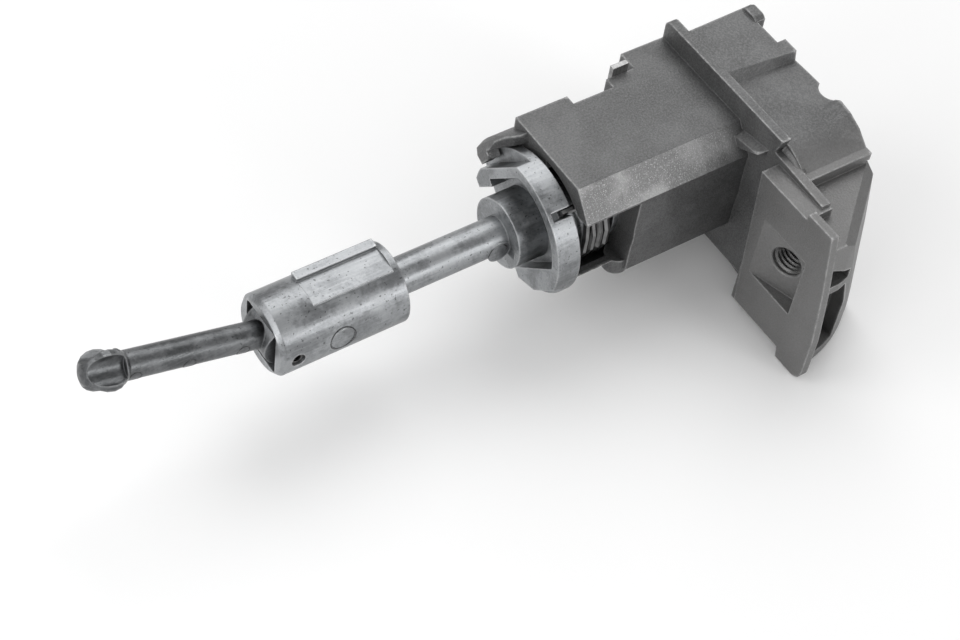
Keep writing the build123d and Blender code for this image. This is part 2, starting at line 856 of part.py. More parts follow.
# Dust shutter, its pin and its leaf spring
with BuildPart() as shutter_flap:
    with BuildSketch(Plane.XY.offset(-shutter_half_h)) as flap_section:
        with Locations((pin_slot_x, 0.5 * (shutter_pin_y - shutter_edge_y))):
            Rectangle(shutter_t, shutter_pin_y + shutter_edge_y)
        with Locations((pin_slot_x, shutter_pin_y)):
            RegularPolygon(shutter_pin_r + 0.34, 8)
            Circle(shutter_pin_r + 0.03, mode=Mode.SUBTRACT)
    extrude(amount=2 * shutter_half_h)
keep(shutter_flap, "shutter_flap")

with BuildPart() as shutter_pin:
    with BuildSketch(Plane.XY.offset(-shutter_half_h - 1.4)):
        with Locations((pin_slot_x, shutter_pin_y)):
            Circle(shutter_pin_r)
    extrude(amount=2 * shutter_half_h + 2.8)
keep(shutter_pin, "shutter_pin")

with BuildPart() as shutter_spring:
    with BuildSketch(Plane.XY.offset(-1.2)):
        with BuildLine() as leaf_line:
            leaf_y = shutter_pin_y + 0.95 - 0.12
            Polyline(
                (-cap_t - shutter_pocket + 0.1, leaf_y),
                (pin_slot_x - 1.4, leaf_y),
                (pin_slot_x - 0.5 * shutter_t - 0.1, 1.1),
            )
            offset(amount=0.08, side=Side.BOTH)
        make_face()
    extrude(amount=2.4)
keep(shutter_spring, "shutter_spring")

# Rubber ring in the plug's front groove
with BuildPart() as seal_ring:
    with BuildSketch(Plane(origin=(-seal_x, 0, 0), x_dir=(0, 1, 0), z_dir=(0, 0, -1))):
        with Locations((plug_r - seal_wire_r, 0)):
            Rectangle(2 * seal_wire_r - 0.04, 2 * seal_wire_r - 0.04)
    revolve(axis=Axis.X)
keep(seal_ring, "seal_ring")

# Clip that holds the plug: a flat fork with a bent tab outside the housing
clip_tab_y = head_far_y + 0.2 + 0.05 + clip_t
clip_groove_r = plug_r - clip_groove + 0.12
with BuildPart() as plug_clip:
    with BuildSketch(across(-clip_x - 0.5 * clip_t)):
        with Locations((-clip_near_y, clip_low_z)):
            Rectangle(clip_tab_y + clip_near_y, clip_top_z - clip_low_z, align=(Align.MIN, Align.MIN))
        Circle(clip_groove_r, mode=Mode.SUBTRACT)
        with Locations((-plug_r, 0)):
            Rectangle(2 * plug_r, 2 * clip_groove_r, mode=Mode.SUBTRACT)
    extrude(amount=clip_t)
    with BuildSketch(across(-clip_x - 0.5 * clip_t)):
        with Locations((clip_tab_y - clip_t, clip_tab_low_z)):
            Rectangle(clip_t, clip_tab_high_z - clip_tab_low_z, align=(Align.MIN, Align.MIN))
    extrude(amount=clip_tab_length)
keep(plug_clip, "plug_clip")

# Torsion spring: a coil with one leg in the disc's notch and one in the housing
leg_turn = degrees(acos(coil_r / leg_r))
leg_knee = Vector(coil_rear_x, leg_r * cos(radians(leg_angle)), leg_r * sin(radians(leg_angle)))
fixed_end = Vector(
    coil_front_x,
    fixed_leg_r * cos(radians(fixed_leg_angle)),
    fixed_leg_r * sin(radians(fixed_leg_angle)),
)
coil_corners = coil_points(coil_r, coil_pitch, coil_turns, coil_steps, leg_angle + leg_turn)
spring_corners = [corner + Vector(coil_rear_x, 0, 0) for corner in coil_corners]
with BuildPart() as return_spring:
    with BuildLine() as spring_line:
        Polyline(leg_knee - Vector(leg_reach, 0, 0), leg_knee, *spring_corners, fixed_end)
    with BuildSketch(Plane(origin=spring_line.line @ 0, z_dir=spring_line.line % 0)):
        RegularPolygon(coil_wire_r, wire_sides)
    sweep(transition=Transition.RIGHT)
keep(return_spring, "return_spring")


def disc_plane(x):
    # square to the axis, with its second axis towards the disc's flat
    return Plane(origin=(x, 0, 0), x_dir=(0, 1, -1), z_dir=(1, 0, 0))


# Tail shaft: disc, boss, rod and socket sleeve in one casting, with a hub inside the spring
notch_s = leg_r * cos(radians(leg_angle + disc_turn))
notch_d = leg_r * sin(radians(leg_angle + disc_turn))
web_x = disc_front_x - disc_flange_t
with BuildPart() as tail_shaft:
    with BuildSketch(disc_plane(web_x)):
        Circle(disc_r)
        with Locations((disc_r + disc_left_s + 4.0, 0)):
            Rectangle(2 * disc_r, 2 * disc_r, mode=Mode.SUBTRACT)
    extrude(amount=disc_flange_t)
    with BuildSketch(disc_plane(disc_rear_x)):
        Circle(disc_r)
        with Locations((0, flat_d + disc_r)):
            Rectangle(2 * disc_r, 2 * disc_r, mode=Mode.SUBTRACT)
        with Locations((0, -low_bar_d - disc_r)):
            Rectangle(2 * disc_r, 2 * disc_r, mode=Mode.SUBTRACT)
        with Locations((disc_left_s + disc_r, 0)):
            Rectangle(2 * disc_r, 2 * disc_r, mode=Mode.SUBTRACT)
        with BuildLine():
            Polyline(
                (-0.2, -low_bar_d - 0.2),
                (6.4, -8.6),
                (6.4, -low_bar_d - 1.0),
                close=True,
            )
        make_face(mode=Mode.SUBTRACT)
        with BuildSketch(Plane.XY, mode=Mode.SUBTRACT):
            Circle(disc_r - disc_rim)
            with Locations((0, 0.5 * (flat_d - bar_t - low_bar_d + low_bar_t))):
                Rectangle(
                    2 * disc_r, flat_d - bar_t + low_bar_d - low_bar_t, mode=Mode.INTERSECT
                )
    extrude(amount=disc_t - disc_flange_t)
    with BuildSketch(disc_plane(disc_rear_x)):
        Circle(hook_r - 0.35)
        with Locations((0.5 * (lug_s + 3.0), flat_d - 0.5 * lug_t)):
            Rectangle(lug_s - 3.0, lug_t, mode=Mode.INTERSECT)
    extrude(amount=disc_t - disc_flange_t + 0.4)
    with BuildSketch(disc_plane(disc_rear_x + 0.8)):
        with Locations((notch_s - 0.6, notch_d)):
            Rectangle(2.9, 2 * coil_wire_r + 0.4)
    extrude(amount=disc_t, mode=Mode.SUBTRACT)
    with BuildSketch(across(boss_rear_x)):
        Circle(boss_r)
    extrude(amount=disc_front_x - boss_rear_x)
    with BuildSketch(across(sleeve_front_x)):
        Circle(rod_r)
    extrude(amount=rod_length)
    with BuildSketch(across(sleeve_rear_x)):
        Circle(sleeve_r)
    extrude(amount=sleeve_length)
    chamfer(tail_shaft.faces().sort_by(Axis.X)[0].edges(), sleeve_edge)
    # flat pad on top of the sleeve, with a raised strip along its far side
    pad_plane = across(sleeve_front_x - pad_start - pad_length)
    with BuildSketch(pad_plane):
        with Locations((0, pad_z)):
            Rectangle(2 * pad_y, sleeve_r, align=(Align.CENTER, Align.MIN))
    extrude(amount=pad_length, mode=Mode.SUBTRACT)
    with BuildSketch(pad_plane):
        Rectangle(2 * pad_y, pad_z, align=(Align.CENTER, Align.MIN))
        with Locations((strip_y, 0)):
            Rectangle(strip_w, strip_z, align=(Align.CENTER, Align.MIN))
    extrude(amount=pad_length)
    # hub inside the spring, bored for the plug's shank
    with BuildSketch(across(disc_front_x)):
        Circle(hub_r)
    extrude(amount=plug_rear_x - hub_gap - disc_front_x)
    with BuildSketch(across(tongue_rear_x + tongue_length - 0.2)):
        Circle(shank_r + hub_clear)
    extrude(amount=box_length, mode=Mode.SUBTRACT)
    with BuildSketch(across(tongue_rear_x - 0.2)):
        Rectangle(tongue_w + 0.2, tongue_h + 0.2)
    extrude(amount=tongue_length + 1.0, mode=Mode.SUBTRACT)
    # square socket and the pin's holes
    with BuildSketch(across(sleeve_rear_x)):
        RectangleRounded(socket_w, socket_w, 0.8)
    extrude(amount=socket_depth, mode=Mode.SUBTRACT)
    with BuildSketch(along(-sleeve_r - 1)):
        with Locations((-pin_x, 0)):
            Circle(pin_r + pin_clear)
    extrude(amount=2 * sleeve_r + 2, mode=Mode.SUBTRACT)
    # flat round marks where the casting was pushed from its die
    for mark_x, mark_y, mark_z in (
        (sleeve_front_x - 13.2, sleeve_r - 0.2, 0.5),
        (boss_rear_x - 1.9, rod_r - 0.1, -0.6),
    ):
        with BuildSketch(along(-mark_y)):
            with Locations((-mark_x, mark_z)):
                Circle(mark_r)
        extrude(amount=2.0)
        with BuildSketch(along(-mark_y - 2.0)):
            with Locations((-mark_x, mark_z)):
                Circle(mark_r)
        extrude(amount=2.0, mode=Mode.SUBTRACT)
keep(tail_shaft, "tail_shaft")

# Cross pin in the sleeve: rolled from sheet, so it is hollow and slit
with BuildPart() as cross_pin:
    with BuildSketch(along(-sleeve_r + pin_recess)):
        with Locations((-pin_x, 0)):
            Circle(pin_r)
            Circle(pin_bore_r, mode=Mode.SUBTRACT)
            Rectangle(pin_slit, 2 * pin_r, align=(Align.CENTER, Align.MIN), mode=Mode.SUBTRACT)
    extrude(amount=2 * (sleeve_r - pin_recess))
keep(cross_pin, "cross_pin")

# End rod: eye on the pin, round rod and a fluted ball tip
pivot = Vector(pin_x, 0, 0)
rod_dir = Vector(-cos(radians(rod_tilt)), 0, sin(radians(rod_tilt)))
rod_plane = Plane(origin=pivot, x_dir=(0, 1, 0), z_dir=rod_dir)
tip_outline = ball_profile(tip_r, tip_bands, tip_angle, 0)
with BuildPart() as end_rod:
    with BuildSketch(along(-0.5 * eye_w)):
        with Locations((-pivot.X, pivot.Z)):
            Circle(eye_r)
    extrude(amount=eye_w)
    with BuildSketch(Plane(origin=pivot, x_dir=(0, 1, 0), z_dir=Vector(0, 1, 0).cross(rod_dir))):
        with BuildLine():
            Polyline(
                (0, 0),
                (end_rod_r, 0),
                (end_rod_r, end_rod_reach - tip_cone),
                *[(r, end_rod_reach + d) for r, d in tip_outline],
                close=True,
            )
        make_face()
    revolve(axis=Axis(pivot, rod_dir))
    # four flutes along the tip
    for flute_turn in (45, 135, 225, 315):
        flute_mid = (flute_out * cos(radians(flute_turn)), flute_out * sin(radians(flute_turn)))
        with BuildSketch(rod_plane.offset(end_rod_reach - flute_start)):
            with Locations(flute_mid):
                Circle(flute_r)
        extrude(amount=2 * tip_r + flute_start, mode=Mode.SUBTRACT)
    # hole for the pin, wider outside its middle land so that the rod can rock
    for hole_r, hole_length in ((pin_r + pin_clear, 2 * eye_w), (pin_r + pin_relief, 0.5 * (eye_w - pin_land))):
        for hole_y in (-0.5 * eye_w, 0.5 * eye_w):
            with BuildSketch(along(hole_y)):
                with Locations((-pivot.X, pivot.Z)):
                    Circle(hole_r)
            extrude(amount=-hole_length if hole_y > 0 else hole_length, mode=Mode.SUBTRACT)
keep(end_rod, "end_rod")
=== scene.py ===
import math

import bpy
from mathutils import Matrix, Vector


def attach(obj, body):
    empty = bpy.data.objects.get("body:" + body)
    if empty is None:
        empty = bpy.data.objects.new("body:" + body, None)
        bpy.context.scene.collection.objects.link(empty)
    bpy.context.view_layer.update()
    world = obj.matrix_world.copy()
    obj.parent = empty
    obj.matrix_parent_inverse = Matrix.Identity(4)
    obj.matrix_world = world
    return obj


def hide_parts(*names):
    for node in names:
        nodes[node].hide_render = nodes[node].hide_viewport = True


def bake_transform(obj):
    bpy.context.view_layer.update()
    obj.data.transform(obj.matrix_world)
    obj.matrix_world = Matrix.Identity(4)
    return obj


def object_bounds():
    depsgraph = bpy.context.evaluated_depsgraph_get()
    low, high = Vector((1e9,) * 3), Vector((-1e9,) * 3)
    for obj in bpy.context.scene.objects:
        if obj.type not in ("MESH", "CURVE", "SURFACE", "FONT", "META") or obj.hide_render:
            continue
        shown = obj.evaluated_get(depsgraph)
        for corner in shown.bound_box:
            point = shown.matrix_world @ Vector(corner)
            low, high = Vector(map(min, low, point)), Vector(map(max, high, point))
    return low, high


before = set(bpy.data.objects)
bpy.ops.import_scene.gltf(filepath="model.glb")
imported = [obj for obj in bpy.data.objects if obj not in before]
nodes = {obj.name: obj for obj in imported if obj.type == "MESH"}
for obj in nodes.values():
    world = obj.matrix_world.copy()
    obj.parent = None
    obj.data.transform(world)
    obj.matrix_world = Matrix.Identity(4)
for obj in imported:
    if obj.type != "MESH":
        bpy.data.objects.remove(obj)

# Door lock cylinder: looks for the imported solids, in metres, in their own frame

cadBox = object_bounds()
mm = 0.001
perMm = 1 / mm
print("frame loaded:", len(nodes), "solids")


class Wire:  # one output of a shader node, so that shader maths reads as plain expressions
    def __init__(self, shader, socket):
        self.shader = shader
        self.socket = socket

    def maths(self, operation, first, second):
        return self.shader.node("ShaderNodeMath", {"operation": operation}, {0: first, 1: second})

    def __add__(self, other):
        return self.maths("ADD", self, other)

    def __radd__(self, other):
        return self.maths("ADD", other, self)

    def __sub__(self, other):
        return self.maths("SUBTRACT", self, other)

    def __rsub__(self, other):
        return self.maths("SUBTRACT", other, self)

    def __mul__(self, other):
        return self.maths("MULTIPLY", self, other)

    def __rmul__(self, other):
        return self.maths("MULTIPLY", other, self)

    def between(self, low, high):  # 0 below low, 1 above high, smooth between
        settings = {"interpolation_type": "SMOOTHSTEP", "clamp": True}
        sockets = {"Value": self, "From Min": low, "From Max": high}
        return self.shader.node("ShaderNodeMapRange", settings, sockets)


class Shader:  # a material and its node tree
    def __init__(self, name):
        self.material = bpy.data.materials.new(name)
        self.material.use_nodes = True
        self.tree = self.material.node_tree
        self.surface = self.tree.nodes["Principled BSDF"]
        self.place = self.node("ShaderNodeTexCoord", {}, {}, "Object")

    def plug(self, socket, value):
        if isinstance(value, Wire):
            self.tree.links.new(value.socket, socket)
        else:
            socket.default_value = value

    def node(self, kind, settings, inputs, output=0):
        made = self.tree.nodes.new(kind)
        for key, value in settings.items():
            setattr(made, key, value)
        for key, value in inputs.items():
            self.plug(made.inputs[key], value)
        return Wire(self, made.outputs[output])

    def noise(self, scale, detail, roughness):  # scale per millimetre, as one number or three
        scales = scale if isinstance(scale, tuple) else (scale, scale, scale)
        size = [perMm * value for value in scales]
        place = self.node("ShaderNodeVectorMath", {"operation": "MULTIPLY"}, {0: self.place, 1: size})
        sockets = {"Vector": place, "Scale": 1.0, "Detail": detail, "Roughness": roughness}
        return self.node("ShaderNodeTexNoise", {}, sockets)

    def mix(self, factor, first, second):  # sockets 6 and 7 are the two colours, and output 2 the mixed one
        return self.node("ShaderNodeMix", {"data_type": "RGBA"}, {0: factor, 6: first, 7: second}, 2)

    def rounded(self, radius, samples):  # the normal, as if the edges were rounded off
        return self.node("ShaderNodeBevel", {"samples": samples}, {"Radius": radius}, "Normal")

    def openness(self, reach, inside):  # less than 1 in corners, or on edges when seen from inside
        settings = {"samples": 8, "inside": inside, "only_local": True}
        return self.node("ShaderNodeAmbientOcclusion", settings, {"Distance": reach}, "AO")

    def bump(self, height, depth, strength, **normal):
        sockets = {"Strength": strength, "Distance": depth, "Height": height, **normal}
        return self.node("ShaderNodeBump", {}, sockets)

    def finish(self, **sockets):
        for key, value in sockets.items():
            self.plug(self.surface.inputs[key.replace("_", " ")], value)
        return self.material


def grey(level, warmth=0.0):  # a linear grey, a little warm above 0 or blue below
    return (level * (1 + warmth), level, level * (1 - warmth), 1.0)


# Tumbled zinc: housing. A noise is its scale per millimetre, detail and roughness
housingLook = {
    "face": grey(0.172, -0.006),
    "patch": grey(0.088, -0.004),
    "worn": grey(0.46),
    # painted shade: the grey that corners and hollows are darkened to
    "corner": grey(0.045, 0.01),
    # painted highlight: the lighter grey of the chamfer
    "chamferHighlight": grey(0.36),
    "clear": grey(0.225, 0.012),
    "fineNoise": (2.6, 3.0, 0.7),
    "fineSpan": (0.36, 0.64),
    "chipNoise": (0.91, 5.0, 0.8),
    "chipSpan": (0.38, 0.64),
    "grainNoise": (2.6, 4.0, 0.62),
    "pitNoise": (1.17, 2.0, 0.5),
    "cloudNoise": (0.11, 4.0, 0.6),
    "cloudSpan": (0.35, 0.68),
    "cloudShare": 0.45,
    "fleckNoise": (4.42, 2.0, 0.6),
    "fleckSpan": (0.56, 0.66),
    "fleckShare": (0.07, 0.8),  # everywhere, and more on the chamfer's painted highlight
    "heightShares": (0.6, 0.25, 0.35),  # grain, pits and fine grain
    "grainHeight": 0.05 * mm,
    "metallic": 0.7,
    "roughness": (0.42, 0.58),
    "edgeRadius": 0.30 * mm,
    "edgeReach": 0.7 * mm,
    "edgeSpan": (0.18, 0.62),
    "edgeChips": (0.34, 0.8),  # worn without a chip, and what a chip adds
    "edgeWear": 0.8,
    "edgePolish": 0.12,
    # painted shade: reach, span and share of the darkening in corners and hollows
    "paintedShadeReach": 2.6 * mm,
    "paintedShadeSpan": (0.25, 0.95),
    "paintedShadeShare": 0.55,
    "chamferFacing": (0.0, -0.7071, 0.7071),
    "chamferSpan": (0.93, 0.985),
    # painted highlight on the chamfer: its cloudiness and least share
    "highlightClouds": (0.4, 0.6),
    "highlightLeast": 0.35,
    "clearShare": 0.5,
    "clearFrom": (-24.0 * mm, -17.0 * mm),  # across: the near end is lighter
    "dullFrom": -38.0 * mm,
    "dullShare": 0.5,
    "plateRear": -19.0 * mm,
    "plateFront": -16.0 * mm,
}
slopeTone = {"edgeWear": 0.0}  # the crown's slope is too thin for worn edges
threadShadeTone = {"face": grey(0.022), "patch": grey(0.01), "roughness": (0.3, 0.42), "edgeWear": 0.14}  # painted shade: the thread inside the seat is made dark


def castZinc(name, look):
    shader = Shader(name)
    fine = shader.noise(*look["fineNoise"]).between(*look["fineSpan"])
    chips = shader.noise(*look["chipNoise"]).between(*look["chipSpan"])
    grain = shader.noise(*look["grainNoise"])
    pits = shader.noise(*look["pitNoise"])
    clouds = shader.noise(*look["cloudNoise"])
    flecks = shader.noise(*look["fleckNoise"]).between(*look["fleckSpan"])
    facing = shader.node("ShaderNodeTexCoord", {}, {}, "Normal")
    sockets = {0: facing, 1: look["chamferFacing"]}
    toChamfer = shader.node("ShaderNodeVectorMath", {"operation": "DOT_PRODUCT"}, sockets, "Value")
    length = shader.node("ShaderNodeSeparateXYZ", {}, {0: shader.place}, "X")
    width = shader.node("ShaderNodeSeparateXYZ", {}, {0: shader.place}, "Y")
    # painted highlight: the chamfer, picked by the way it faces, is made lighter behind the plate, and less
    # so close to it
    behindPlate = 1 - length.between(look["plateRear"], look["plateFront"])
    shine = 1 - look["dullShare"] * length.between(look["dullFrom"], look["plateRear"])
    paintedHighlight = toChamfer.between(*look["chamferSpan"]) * behindPlate * shine
    edges = (1 - shader.openness(look["edgeReach"], True)).between(*look["edgeSpan"])
    plain, chipped = look["edgeChips"]
    wear = edges * (plain + chipped * chips) * look["edgeWear"]
    # painted shade: ambient occlusion picks the corners and hollows, which are darkened
    paintedShade = (1 - shader.openness(look["paintedShadeReach"], False)).between(*look["paintedShadeSpan"])
    cloudShare, least = look["cloudShare"], look["highlightLeast"]
    tone = clouds.between(*look["cloudSpan"]) * cloudShare + fine * (1 - cloudShare)
    colour = shader.mix(tone, look["patch"], look["face"])
    colour = shader.mix((1 - width.between(*look["clearFrom"])) * look["clearShare"], colour, look["clear"])
    # painted highlight on the chamfer, varied by clouds
    chamferHighlightShare = paintedHighlight * (least + (1 - least) * clouds.between(*look["highlightClouds"]))
    colour = shader.mix(chamferHighlightShare, colour, look["chamferHighlight"])
    everywhere, onChamfer = look["fleckShare"]
    colour = shader.mix(flecks * (everywhere + onChamfer * paintedHighlight), colour, look["worn"])
    # painted shade mixed into the colour in corners and hollows
    colour = shader.mix(paintedShade * look["paintedShadeShare"], colour, look["corner"])
    colour = shader.mix(wear, colour, look["worn"])
    grainShare, pitShare, fineShare = look["heightShares"]
    height = grain * grainShare + pits * pitShare + fine * fineShare
    low, high = look["roughness"]
    return shader.finish(
        Base_Color=colour,
        Metallic=look["metallic"],
        Roughness=low + clouds * (high - low) - wear * look["edgePolish"],
        Normal=shader.bump(height, look["grainHeight"], 1.0, Normal=shader.rounded(look["edgeRadius"], 6)),
    )


# Bright zinc: plug, tail shaft and end rod, left as cast
tailLook = {
    "face": grey(0.34, -0.03),
    "patch": grey(0.18, -0.035),
    "worn": grey(0.66, -0.015),
    # grey of the dark specks, and of the painted shade in corners and hollows
    "corner": grey(0.05, -0.02),
    "cloudNoise": (0.16, 5.0, 0.6),
    "cloudSpan": (0.36, 0.64),
    "blotchNoise": (0.7, 4.0, 0.6),
    "grainNoise": (2.6, 3.0, 0.6),
    "streakNoise": ((0.16, 2.6, 2.6), 3.0, 0.6),
    "streakFrom": 0.45,
    "streakShare": 0.44,
    "speckNoise": (2.1, 1.0, 0.3),
    "speckSpan": (0.69, 0.74),
    "speckShare": 0.7,
    "mottleNoise": (1.3, 5.0, 0.7),
    "mottleSpan": (0.38, 0.62),
    "toneShares": (0.5, 0.3, 0.2),  # clouds, blotches and mottle
    "toneSpan": (0.15, 0.85),
    "heightShares": (0.35, 0.5, 0.3, 0.25),  # grain, blotches, streaks and mottle
    "grainHeight": 0.02 * mm,
    "metallic": 0.9,
    "roughness": (0.26, 0.5),
    "roughShares": (0.6, 0.4),  # tone and streaks
    "edgeRadius": 0.30 * mm,
    "edgeReach": 0.7 * mm,
    "edgeSpan": (0.2, 0.6),
    "edgeLeast": 0.3,
    "edgeWear": 0.6,
    # painted shade: reach, span and share of the darkening in corners and hollows
    "paintedShadeReach": 2.2 * mm,
    "paintedShadeSpan": (0.2, 0.9),
    "paintedShadeShare": 0.55,
}
rodTone = {  # the end rod is duller
    "face": grey(0.165, -0.03),
    "patch": grey(0.078, -0.035),
    "worn": grey(0.38, -0.015),
}
markShadeTone = {  # painted shade round the die marks
    "face": grey(0.10, -0.02),
    "patch": grey(0.05, -0.02),
    "edgeWear": 0.0,
}


def brightZinc(name, look):
    shader = Shader(name)
    clouds = shader.noise(*look["cloudNoise"])
    blotches = shader.noise(*look["blotchNoise"])
    grain = shader.noise(*look["grainNoise"])
    streaks = shader.noise(*look["streakNoise"])
    specks = shader.noise(*look["speckNoise"]).between(*look["speckSpan"])
    mottle = shader.noise(*look["mottleNoise"]).between(*look["mottleSpan"])
    edges = (1 - shader.openness(look["edgeReach"], True)).between(*look["edgeSpan"])
    wear = edges * (look["edgeLeast"] + blotches) * look["edgeWear"]
    # painted shade: ambient occlusion picks the corners and hollows, which are darkened
    paintedShade = (1 - shader.openness(look["paintedShadeReach"], False)).between(*look["paintedShadeSpan"])
    cloudShare, blotchShare, mottleShare = look["toneShares"]
    tone = clouds.between(*look["cloudSpan"]) * cloudShare + blotches * blotchShare + mottle * mottleShare
    tone = tone.between(*look["toneSpan"])
    colour = shader.mix(tone, look["patch"], look["face"])
    colour = shader.mix((streaks - look["streakFrom"]) * look["streakShare"], colour, look["worn"])
    colour = shader.mix(specks * look["speckShare"], colour, look["corner"])
    # painted shade mixed into the colour in corners and hollows
    colour = shader.mix(paintedShade * look["paintedShadeShare"], colour, look["corner"])
    colour = shader.mix(wear, colour, look["worn"])
    grainShare, blotchShare, streakShare, mottleShare = look["heightShares"]
    height = grain * grainShare + blotches * blotchShare + streaks * streakShare + mottle * mottleShare
    low, high = look["roughness"]
    byTone, byStreaks = look["roughShares"]
    return shader.finish(
        Base_Color=colour,
        Metallic=look["metallic"],
        Roughness=low + tone * (high - low) * byTone + (1 - streaks) * (high - low) * byStreaks,
        Normal=shader.bump(height, look["grainHeight"], 1.0, Normal=shader.rounded(look["edgeRadius"], 6)),
    )


# Drawn and stamped steel: springs, pins, clip, cap and shutter
steelLook = {  # each finish is its colour, lowest roughness and streaks per millimetre
    "spring": (grey(0.23), 0.26, (0.6, 0.6, 0.6)),
    "pin": (grey(0.16, 0.01), 0.3, (1.2, 0.3, 1.2)),
    "clip": (grey(0.34), 0.34, (2.0, 0.5, 0.5)),
    "cap": (grey(0.62), 0.2, (0.2, 3.0, 0.25)),
    "streakDetail": (3.0, 0.6),
    "cloudNoise": (0.5, 3.0, 0.6),
    "toneShares": (0.6, 0.4),  # streaks and clouds
    "toneSpan": (0.3, 0.6),
    "darkShare": 0.55,
    "edgeRadius": 0.1 * mm,
    "scratchDepth": 0.01 * mm,
    "scratchStrength": 0.6,
    "roughRange": 0.14,
}


def drawnSteel(name, kind):
    look = steelLook
    colour, roughness, streakScale = look[kind]
    shader = Shader(name)
    streaks = shader.noise(streakScale, *look["streakDetail"])
    clouds = shader.noise(*look["cloudNoise"])
    dark = tuple(look["darkShare"] * value for value in colour[:3]) + (1.0,)
    streakShare, cloudShare = look["toneShares"]
    tone = (streaks * streakShare + clouds * cloudShare).between(*look["toneSpan"])
    edges = shader.rounded(look["edgeRadius"], 4)
    return shader.finish(
        Base_Color=shader.mix(tone, dark, colour),
        Metallic=1.0,
        Roughness=roughness + clouds * look["roughRange"],
        Normal=shader.bump(streaks, look["scratchDepth"], look["scratchStrength"], Normal=edges),
    )


# Stamped brass: wafers
brassLook = {
    "dark": (0.36, 0.24, 0.07, 1.0),
    "light": (0.62, 0.45, 0.17, 1.0),
    "cloudNoise": (0.8, 4.0, 0.6),
    "cloudSpan": (0.35, 0.65),
    "lineNoise": ((3.0, 0.4, 3.0), 2.0, 0.5),
    "lineDepth": 0.01 * mm,
    "lineStrength": 0.5,
    "roughness": (0.28, 0.48),
}


def stampedBrass(name, look):
    shader = Shader(name)
    clouds = shader.noise(*look["cloudNoise"])
    lines = shader.noise(*look["lineNoise"])
    low, high = look["roughness"]
    return shader.finish(
        Base_Color=shader.mix(clouds.between(*look["cloudSpan"]), look["dark"], look["light"]),
        Metallic=1.0,
        Roughness=low + clouds * (high - low),
        Normal=shader.bump(lines, look["lineDepth"], look["lineStrength"]),
    )


# Moulded rubber: seal ring
rubberLook = {
    "dark": grey(0.012),
    "dusty": grey(0.035),
    "dustNoise": (1.6, 3.0, 0.6),
    "dustSpan": (0.45, 0.7),
    "dustDepth": 0.02 * mm,
    "dustStrength": 0.5,
    "roughness": (0.55, 0.8),
}


def mouldedRubber(name, look):
    shader = Shader(name)
    dust = shader.noise(*look["dustNoise"])
    low, high = look["roughness"]
    return shader.finish(
        Base_Color=shader.mix(dust.between(*look["dustSpan"]), look["dark"], look["dusty"]),
        Metallic=0.0,
        Roughness=low + dust * (high - low),
        Normal=shader.bump(dust, look["dustDepth"], look["dustStrength"]),
    )


housingZinc = castZinc("housingZinc", housingLook)
# painted shade: dark finish for the thread inside the seat
threadShadeZinc = castZinc("threadShadeZinc", {**housingLook, **threadShadeTone})
slopeZinc = castZinc("slopeZinc", {**housingLook, **slopeTone})
tailZinc = brightZinc("tailZinc", tailLook)
rodZinc = brightZinc("rodZinc", {**tailLook, **rodTone})
markShadeZinc = brightZinc("markShadeZinc", {**tailLook, **markShadeTone})
springSteel = drawnSteel("springSteel", "spring")
pinSteel = drawnSteel("pinSteel", "pin")
clipSteel = drawnSteel("clipSteel", "clip")
capSteel = drawnSteel("capSteel", "cap")
waferBrass = stampedBrass("waferBrass", brassLook)
sealRubber = mouldedRubber("sealRubber", rubberLook)

finishes = {
    "lock_housing": housingZinc,
    "tail_shaft": tailZinc,
    "end_rod": rodZinc,
    "plug": tailZinc,
    "cross_pin": pinSteel,
    "shutter_flap": capSteel,
    "shutter_pin": pinSteel,
    "shutter_spring": springSteel,
    "return_spring": springSteel,
    "plug_clip": clipSteel,
    "face_cap": capSteel,
    "seal_ring": sealRubber,
}
for name, piece in nodes.items():
    if name.startswith("wafer_spring"):
        finish = springSteel
    elif name.startswith("wafer"):
        finish = waferBrass
    else:
        finish = finishes[name]
    piece.data.materials.clear()
    piece.data.materials.append(finish)
print("finishes on the solids")


# Small forms that sit on the solids
def addPiece(name, points, faces, body, finish):
    mesh = bpy.data.meshes.new(name)
    mesh.from_pydata(points, [], faces)
    mesh.materials.append(finish)
    piece = bpy.data.objects.new(name, mesh)
    bpy.context.scene.collection.objects.link(piece)
    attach(piece, body)
    return piece


# Screw thread in the tilted seat
threadLook = {
    "mouth": (-18.13 * mm, -29.5 * mm, -0.9 * mm),
    "turnedIn": 17.3,
    "boreRadius": 3.02 * mm,
    "crestRadius": 2.5 * mm,
    "pitch": 1.0 * mm,
    "halfTooth": 0.48 * mm,
    "start": 0.7 * mm,
    "turns": 10,
    "steps": 28,
}


def buildThread(look):
    angle = math.radians(look["turnedIn"])
    inward = Vector((math.cos(angle), math.sin(angle), 0.0))
    upward = Vector((0.0, 0.0, 1.0))
    sideways = inward.cross(upward)
    half = look["halfTooth"]
    profile = [(look["boreRadius"], -half), (look["crestRadius"], 0.0), (look["boreRadius"], half)]
    corners = len(profile)
    points, faces = [], []
    count = look["turns"] * look["steps"]
    for step in range(count + 1):
        turn = 2 * math.pi * step / look["steps"]
        outward = upward * math.cos(turn) + sideways * math.sin(turn)
        depth = look["start"] + look["pitch"] * step / look["steps"]
        for radius, shift in profile:
            points.append(Vector(look["mouth"]) + inward * (depth + shift) + outward * radius)
    for step in range(count):
        low, high = corners * step, corners * (step + 1)
        for side in range(corners):
            other = (side + 1) % corners
            faces.append((low + side, low + other, high + other, high + side))
    last = corners * count
    faces.append((2, 1, 0))
    faces.append((last, last + 1, last + 2))
    addPiece("screw_thread", points, faces, "housing", threadShadeZinc)


